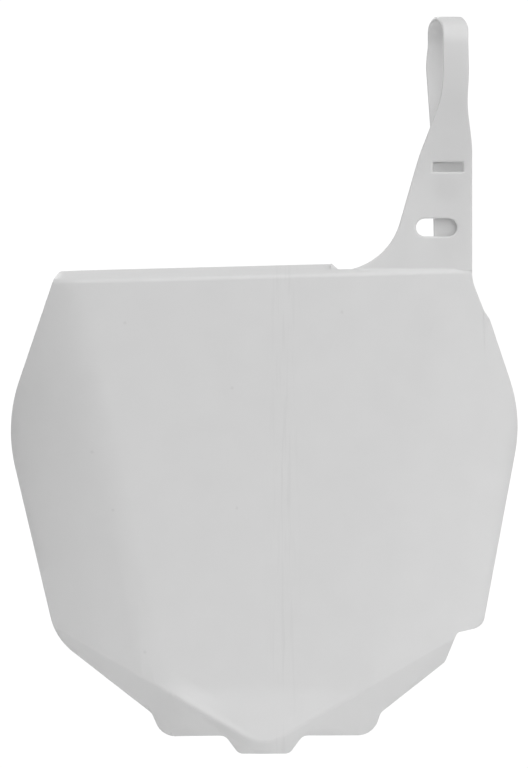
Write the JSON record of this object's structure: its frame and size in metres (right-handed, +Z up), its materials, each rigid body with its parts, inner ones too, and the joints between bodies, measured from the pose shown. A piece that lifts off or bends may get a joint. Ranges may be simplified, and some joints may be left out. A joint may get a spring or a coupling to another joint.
{
  "type": "racing number board",
  "caption": "Front number board of an off-road motorbike: a dished white plastic face with a folded top lip and lower flanges, and an arm whose strap loops over the handlebar crossbar.",
  "frame": {"origin": "on the axis of the handlebar crossbar that the strap's loop goes round, near the middle of the loop's width", "axes": "+Z up, -Y the way the face looks (forward on the motorbike), +X along the crossbar, to the right in front view"},
  "size_m": [0.2458, 0.0377, 0.3567],
  "materials": {
    "white_plastic": "white moulded polypropylene, slightly translucent, with a soft gloss"
  },
  "bodies": {
    "root": {"number_board": "white_plastic"}
  },
  "joints": []
}
